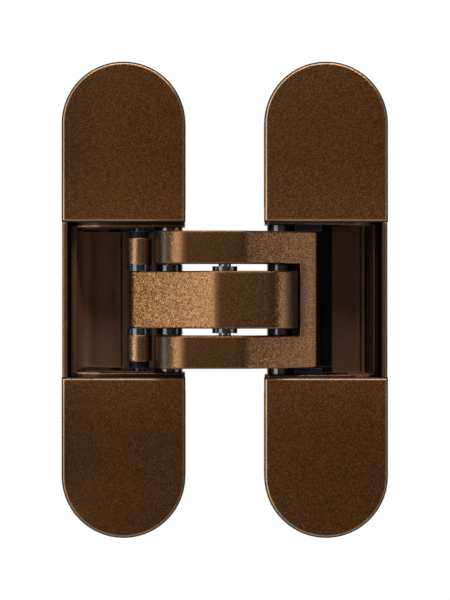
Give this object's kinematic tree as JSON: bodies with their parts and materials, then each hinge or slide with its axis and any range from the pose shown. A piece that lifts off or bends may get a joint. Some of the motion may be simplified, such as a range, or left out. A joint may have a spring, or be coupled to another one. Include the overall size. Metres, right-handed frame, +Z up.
{
  "type": "concealed door hinge",
  "caption": "Concealed door hinge laid open flat: two mortised housings with covers, joined by a forked arm and an inner arm that fold into their pockets.",
  "frame": {"origin": "centre of the frame half's screw pattern, on the back face of its two end blocks", "axes": "+Z up along the door's edge, +X from the frame half to the door half when open flat, +Y into the wood, away from the visible covers"},
  "size_m": [0.0651, 0.0306, 0.095],
  "materials": {
    "bronze_paint": "satin metallic",
    "dark_bronze_paint": "satin metallic",
    "bright_bronze": "semi-gloss metallic",
    "black_plastic": "gloss",
    "steel": "bright"
  },
  "bodies": {
    "frame_half": {"frame_housing": "dark_bronze_paint", "frame_carriage": "dark_bronze_paint", "frame_cover_top": "bronze_paint", "frame_cover_bottom": "bronze_paint", "frame_pivot_pin": "steel", "frame_pivot_spacer": "black_plastic", "frame_clamp_screw_top": "steel", "frame_clamp_screw_bottom": "steel", "frame_guide_top": "dark_bronze_paint", "frame_guide_bottom": "dark_bronze_paint"},
    "fork": {"fork_arm": "bronze_paint", "fork_bush_top": "black_plastic", "fork_bush_bottom": "black_plastic", "centre_pin": "steel", "fork_slide_pin_top": "steel", "fork_slide_pin_bottom": "steel"},
    "inner": {"inner_arm": "bronze_paint", "inner_bush": "black_plastic", "centre_bush_top": "black_plastic", "centre_bush_bottom": "black_plastic", "inner_slide_pin": "steel", "inner_washer_top": "black_plastic", "inner_washer_bottom": "black_plastic", "inner_sleeve_top": "bright_bronze", "inner_sleeve_bottom": "bright_bronze", "inner_spacer_top": "dark_bronze_paint", "inner_spacer_bottom": "dark_bronze_paint"},
    "door_half": {"door_housing": "dark_bronze_paint", "door_carriage": "dark_bronze_paint", "door_cover_top": "bronze_paint", "door_cover_bottom": "bronze_paint", "door_pivot_pin": "steel", "door_spacer_top": "black_plastic", "door_spacer_bottom": "black_plastic", "door_clamp_screw_top": "steel", "door_clamp_screw_bottom": "steel", "door_guide": "black_plastic"}
  },
  "joints": [
    {"name": "fork_swing", "type": "hinge", "parent": "frame_half", "child": "fork", "pos_m": [0.009, -0.0065, 0], "axis": [0, 0, -1], "range_deg": [0, 103.87]},
    {"name": "scissor", "type": "hinge", "parent": "fork", "child": "inner", "pos_m": [0.0202, -0.0164, 0], "axis": [0, 0, -1], "range_deg": [-27.75, 0]},
    {"name": "door_swing", "type": "hinge", "parent": "inner", "child": "door_half", "pos_m": [0.0314, -0.0065, 0], "axis": [0, 0, -1], "range_deg": [0, 103.88]}
  ],
  "couplings": [
    {"joint": "scissor", "follows": "fork_swing", "ratio": -0.26708},
    {"joint": "door_swing", "follows": "fork_swing", "ratio": 1}
  ]
}
